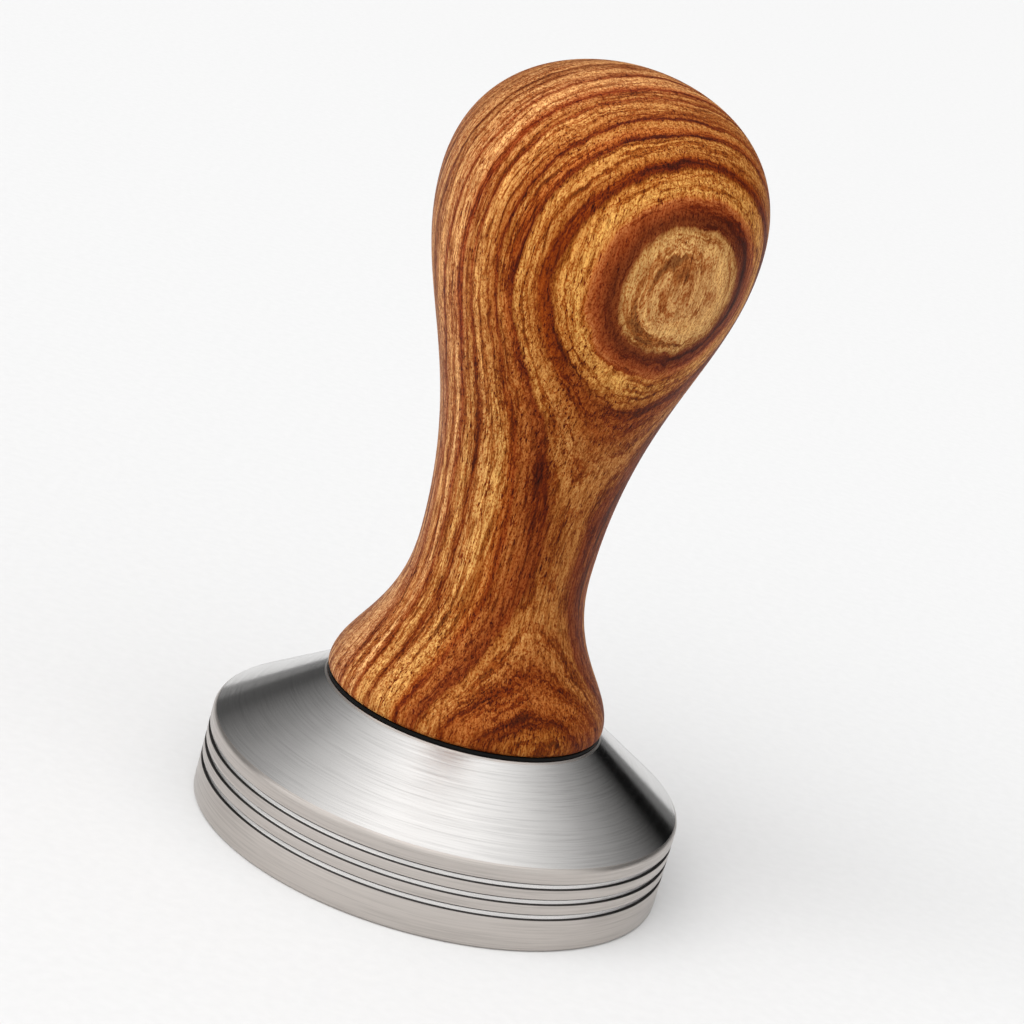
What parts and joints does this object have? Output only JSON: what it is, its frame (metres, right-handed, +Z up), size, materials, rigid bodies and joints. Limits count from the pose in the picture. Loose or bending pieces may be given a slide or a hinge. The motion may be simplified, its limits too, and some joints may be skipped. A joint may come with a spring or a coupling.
{
  "type": "espresso tamper",
  "caption": "Espresso tamper with a flat solid steel base, a ribbed straight rim, a conical shoulder and a waisted round-knobbed hardwood handle that unscrews.",
  "frame": {"origin": "centre of the flat tamping face at the bottom of the steel base", "axes": "+Z up along the axis of revolution, from the tamping face to the crown of the handle; +X and +Y are equivalent in shape, and the figure of the wood grain faces between +X and -Y"},
  "size_m": [0.058, 0.058, 0.0975],
  "materials": {
    "turned_steel": "stainless steel, turned with fine concentric lines on the cone and satin on the rim",
    "stud_steel": "plain rolled-thread stainless steel",
    "black_rubber": "matt",
    "insert_brass": "as turned",
    "figured_wood": "oiled satin, strongly banded golden and dark brown tropical hardwood"
  },
  "bodies": {
    "base": {"steel_base": "turned_steel", "base_stud": "stud_steel"},
    "washer": {"rubber_washer": "black_rubber"},
    "handle": {"wood_handle": "figured_wood", "handle_insert": "insert_brass"}
  },
  "joints": [
    {"name": "washer_lift", "type": "slide", "parent": "base", "child": "washer", "axis": [0, 0, 1], "range_m": [0, 0.012]},
    {"name": "handle_unscrew", "type": "hinge", "parent": "washer", "child": "handle", "pos_m": [0, 0, 0.01885], "axis": [0, 0, 1], "range_deg": [0, 3420]}
  ],
  "couplings": [
    {"joint": "washer_lift", "follows": "handle_unscrew", "m_per_rad": 0.00019894}
  ]
}
